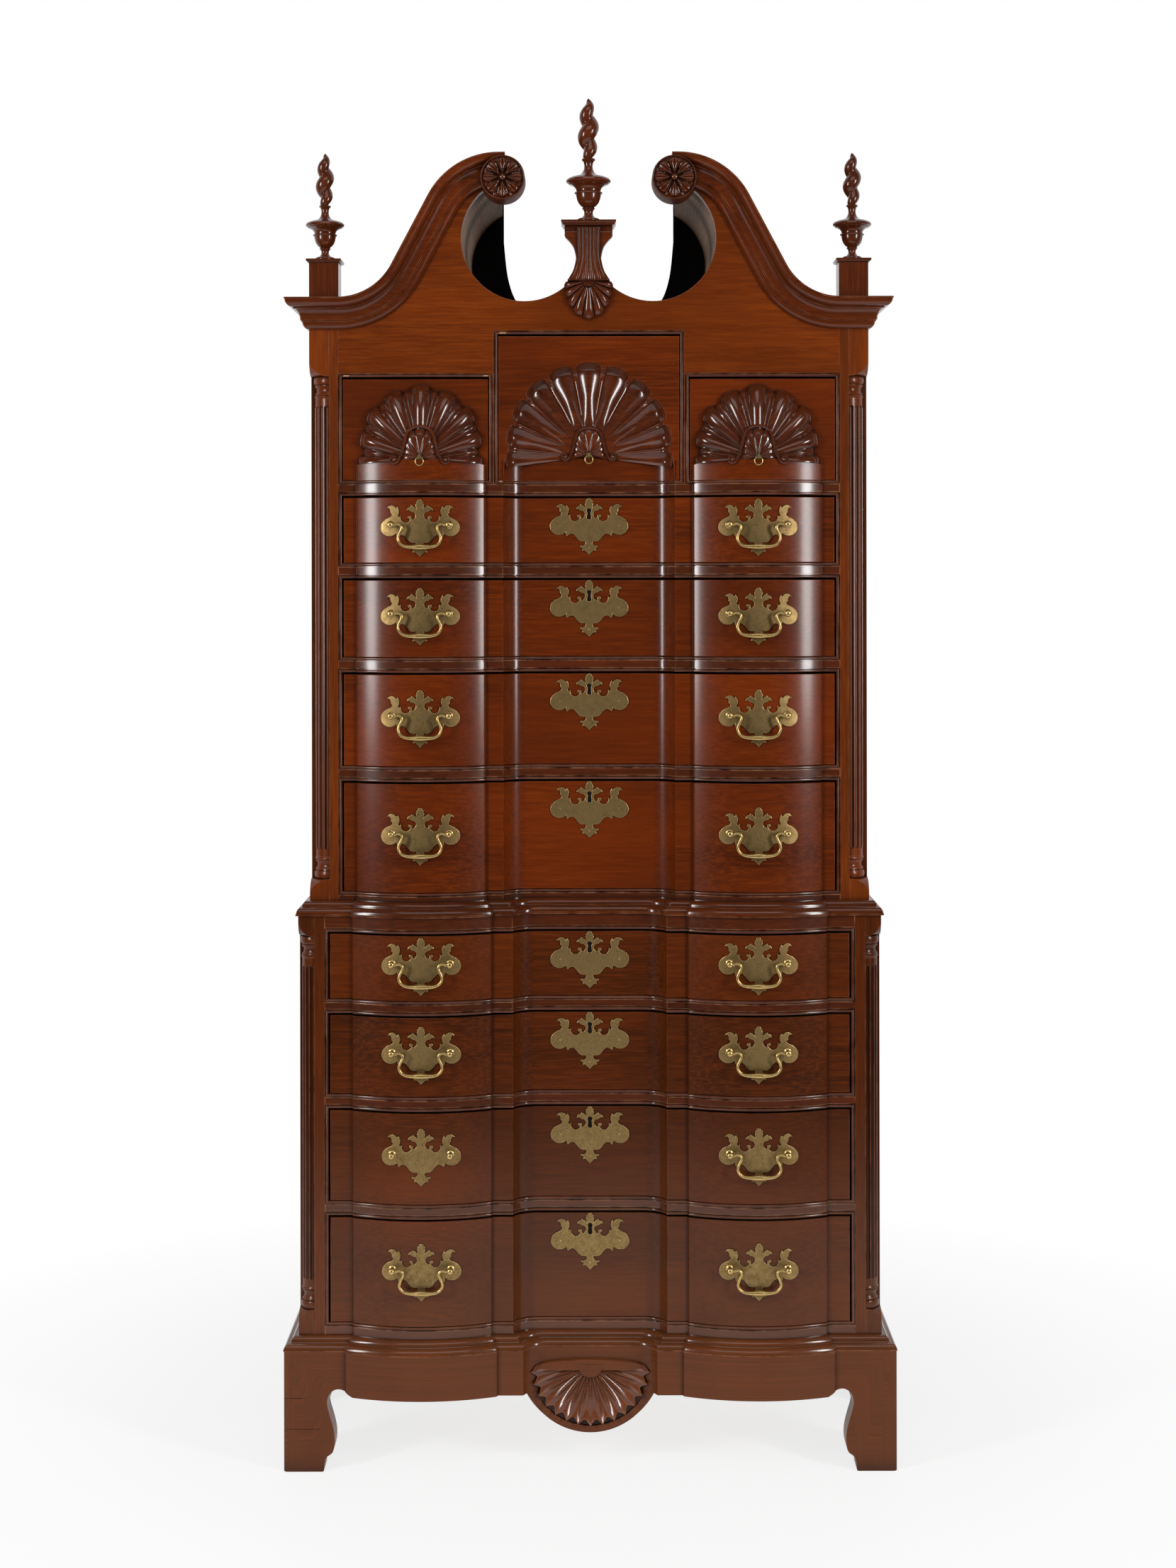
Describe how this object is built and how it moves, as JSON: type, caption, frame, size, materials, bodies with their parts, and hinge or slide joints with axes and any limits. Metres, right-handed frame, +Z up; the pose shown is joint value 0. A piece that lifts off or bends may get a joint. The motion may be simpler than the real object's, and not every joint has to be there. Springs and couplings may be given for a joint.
{
  "type": "chest-on-chest",
  "caption": "Tall blocked-front chest-on-chest with swan-neck bonnet, carved shells, flame finials, brass bails and sliding drawers on bracket feet.",
  "frame": {"origin": "on the floor, in the middle of the overall width and depth", "axes": "+Z up, the drawer fronts face -Y, +X is the viewer's right"},
  "size_m": [1.069, 0.5082, 2.3922],
  "materials": {
    "mahogany": "old polished mahogany, satin",
    "secondary_wood": "bare sawn board, unfinished",
    "brass": "aged cast brass, worn bright at the edges"
  },
  "bodies": {
    "case": {"base_front": "mahogany", "base_sides": "mahogany", "base_moulding": "mahogany", "lower_sides": "mahogany", "lower_back": "secondary_wood", "lower_front": "mahogany", "lower_runners": "secondary_wood", "quarter_columns": "mahogany", "waist_moulding": "mahogany", "upper_sides": "mahogany", "upper_back": "secondary_wood", "upper_front": "mahogany", "upper_runners": "secondary_wood", "tympanum": "mahogany", "cornice": "mahogany", "rosettes": "mahogany", "bonnet_boards": "secondary_wood", "centre_plinth": "mahogany", "corner_plinths": "mahogany", "finials": "mahogany"},
    "upper_drawer_1": {"upper_drawer_1": "mahogany", "upper_brass_1": "brass"},
    "upper_drawer_2": {"upper_drawer_2": "mahogany", "upper_brass_2": "brass"},
    "upper_drawer_3": {"upper_drawer_3": "mahogany", "upper_brass_3": "brass"},
    "upper_drawer_4": {"upper_drawer_4": "mahogany", "upper_brass_4": "brass"},
    "lower_drawer_1": {"lower_drawer_1": "mahogany", "lower_brass_1": "brass"},
    "lower_drawer_2": {"lower_drawer_2": "mahogany", "lower_brass_2": "brass"},
    "lower_drawer_3": {"lower_drawer_3": "mahogany", "lower_brass_3": "brass"},
    "lower_drawer_4": {"lower_drawer_4": "mahogany", "lower_brass_4": "brass"},
    "shell_drawer_left": {"shell_drawer_left": "mahogany", "ring_eye_left": "brass"},
    "shell_drawer_right": {"shell_drawer_right": "mahogany", "ring_eye_right": "brass"},
    "shell_drawer_centre": {"shell_drawer_centre": "mahogany", "ring_eye_centre": "brass"},
    "upper_bail_1_left": {"upper_bail_1_left": "brass"},
    "upper_bail_1_right": {"upper_bail_1_right": "brass"},
    "upper_bail_2_left": {"upper_bail_2_left": "brass"},
    "upper_bail_2_right": {"upper_bail_2_right": "brass"},
    "upper_bail_3_left": {"upper_bail_3_left": "brass"},
    "upper_bail_3_right": {"upper_bail_3_right": "brass"},
    "upper_bail_4_left": {"upper_bail_4_left": "brass"},
    "upper_bail_4_right": {"upper_bail_4_right": "brass"},
    "lower_bail_1_left": {"lower_bail_1_left": "brass"},
    "lower_bail_1_right": {"lower_bail_1_right": "brass"},
    "lower_bail_2_left": {"lower_bail_2_left": "brass"},
    "lower_bail_2_right": {"lower_bail_2_right": "brass"},
    "lower_bail_3_right": {"lower_bail_3_right": "brass"},
    "lower_bail_4_left": {"lower_bail_4_left": "brass"},
    "lower_bail_4_right": {"lower_bail_4_right": "brass"},
    "ring_left": {"ring_left": "brass"},
    "ring_right": {"ring_right": "brass"},
    "ring_centre": {"ring_centre": "brass"}
  },
  "joints": [
    {"name": "upper_drawer_1_slide", "type": "slide", "parent": "case", "child": "upper_drawer_1", "axis": [0, -1, 0], "range_m": [0, 0.3]},
    {"name": "upper_drawer_2_slide", "type": "slide", "parent": "case", "child": "upper_drawer_2", "axis": [0, -1, 0], "range_m": [0, 0.3]},
    {"name": "upper_drawer_3_slide", "type": "slide", "parent": "case", "child": "upper_drawer_3", "axis": [0, -1, 0], "range_m": [0, 0.3]},
    {"name": "upper_drawer_4_slide", "type": "slide", "parent": "case", "child": "upper_drawer_4", "axis": [0, -1, 0], "range_m": [0, 0.3]},
    {"name": "lower_drawer_1_slide", "type": "slide", "parent": "case", "child": "lower_drawer_1", "axis": [0, -1, 0], "range_m": [0, 0.33]},
    {"name": "lower_drawer_2_slide", "type": "slide", "parent": "case", "child": "lower_drawer_2", "axis": [0, -1, 0], "range_m": [0, 0.33]},
    {"name": "lower_drawer_3_slide", "type": "slide", "parent": "case", "child": "lower_drawer_3", "axis": [0, -1, 0], "range_m": [0, 0.33]},
    {"name": "lower_drawer_4_slide", "type": "slide", "parent": "case", "child": "lower_drawer_4", "axis": [0, -1, 0], "range_m": [0, 0.33]},
    {"name": "shell_drawer_left_slide", "type": "slide", "parent": "case", "child": "shell_drawer_left", "axis": [0, -1, 0], "range_m": [0, 0.3]},
    {"name": "shell_drawer_right_slide", "type": "slide", "parent": "case", "child": "shell_drawer_right", "axis": [0, -1, 0], "range_m": [0, 0.3]},
    {"name": "shell_drawer_centre_slide", "type": "slide", "parent": "case", "child": "shell_drawer_centre", "axis": [0, -1, 0], "range_m": [0, 0.3]},
    {"name": "upper_bail_1_left_hinge", "type": "hinge", "parent": "upper_drawer_1", "child": "upper_bail_1_left", "pos_m": [-0.29525, -0.22198, 1.6475], "axis": [-1, 0, 0], "range_deg": [-7, 165]},
    {"name": "upper_bail_1_right_hinge", "type": "hinge", "parent": "upper_drawer_1", "child": "upper_bail_1_right", "pos_m": [0.29525, -0.22198, 1.6475], "axis": [-1, 0, 0], "range_deg": [-7, 165]},
    {"name": "upper_bail_2_left_hinge", "type": "hinge", "parent": "upper_drawer_2", "child": "upper_bail_2_left", "pos_m": [-0.29525, -0.22198, 1.49255], "axis": [-1, 0, 0], "range_deg": [-7, 165]},
    {"name": "upper_bail_2_right_hinge", "type": "hinge", "parent": "upper_drawer_2", "child": "upper_bail_2_right", "pos_m": [0.29525, -0.22198, 1.49255], "axis": [-1, 0, 0], "range_deg": [-7, 165]},
    {"name": "upper_bail_3_left_hinge", "type": "hinge", "parent": "upper_drawer_3", "child": "upper_bail_3_left", "pos_m": [-0.29525, -0.22198, 1.3146], "axis": [-1, 0, 0], "range_deg": [-7, 165]},
    {"name": "upper_bail_3_right_hinge", "type": "hinge", "parent": "upper_drawer_3", "child": "upper_bail_3_right", "pos_m": [0.29525, -0.22198, 1.3146], "axis": [-1, 0, 0], "range_deg": [-7, 165]},
    {"name": "upper_bail_4_left_hinge", "type": "hinge", "parent": "upper_drawer_4", "child": "upper_bail_4_left", "pos_m": [-0.29525, -0.22198, 1.1089], "axis": [-1, 0, 0], "range_deg": [-7, 165]},
    {"name": "upper_bail_4_right_hinge", "type": "hinge", "parent": "upper_drawer_4", "child": "upper_bail_4_right", "pos_m": [0.29525, -0.22198, 1.1089], "axis": [-1, 0, 0], "range_deg": [-7, 165]},
    {"name": "lower_bail_1_left_hinge", "type": "hinge", "parent": "lower_drawer_1", "child": "lower_bail_1_left", "pos_m": [-0.29325, -0.2417, 0.8849], "axis": [-1, 0, 0], "range_deg": [-7, 165]},
    {"name": "lower_bail_1_right_hinge", "type": "hinge", "parent": "lower_drawer_1", "child": "lower_bail_1_right", "pos_m": [0.29325, -0.2417, 0.8849], "axis": [-1, 0, 0], "range_deg": [-7, 165]},
    {"name": "lower_bail_2_left_hinge", "type": "hinge", "parent": "lower_drawer_2", "child": "lower_bail_2_left", "pos_m": [-0.29325, -0.2417, 0.7306], "axis": [-1, 0, 0], "range_deg": [-7, 165]},
    {"name": "lower_bail_2_right_hinge", "type": "hinge", "parent": "lower_drawer_2", "child": "lower_bail_2_right", "pos_m": [0.29325, -0.2417, 0.7306], "axis": [-1, 0, 0], "range_deg": [-7, 165]},
    {"name": "lower_bail_3_right_hinge", "type": "hinge", "parent": "lower_drawer_3", "child": "lower_bail_3_right", "pos_m": [0.29325, -0.2417, 0.5538], "axis": [-1, 0, 0], "range_deg": [-7, 165]},
    {"name": "lower_bail_4_left_hinge", "type": "hinge", "parent": "lower_drawer_4", "child": "lower_bail_4_left", "pos_m": [-0.29325, -0.2417, 0.354], "axis": [-1, 0, 0], "range_deg": [-7, 165]},
    {"name": "lower_bail_4_right_hinge", "type": "hinge", "parent": "lower_drawer_4", "child": "lower_bail_4_right", "pos_m": [0.29325, -0.2417, 0.354], "axis": [-1, 0, 0], "range_deg": [-7, 165]},
    {"name": "ring_left_hinge", "type": "hinge", "parent": "shell_drawer_left", "child": "ring_left", "pos_m": [-0.29525, -0.2198, 1.7655], "axis": [-1, 0, 0], "range_deg": [-10, 150]},
    {"name": "ring_right_hinge", "type": "hinge", "parent": "shell_drawer_right", "child": "ring_right", "pos_m": [0.29525, -0.2198, 1.7655], "axis": [-1, 0, 0], "range_deg": [-10, 150]},
    {"name": "ring_centre_hinge", "type": "hinge", "parent": "shell_drawer_centre", "child": "ring_centre", "pos_m": [0, -0.1598, 1.771], "axis": [-1, 0, 0], "range_deg": [-10, 150]}
  ]
}
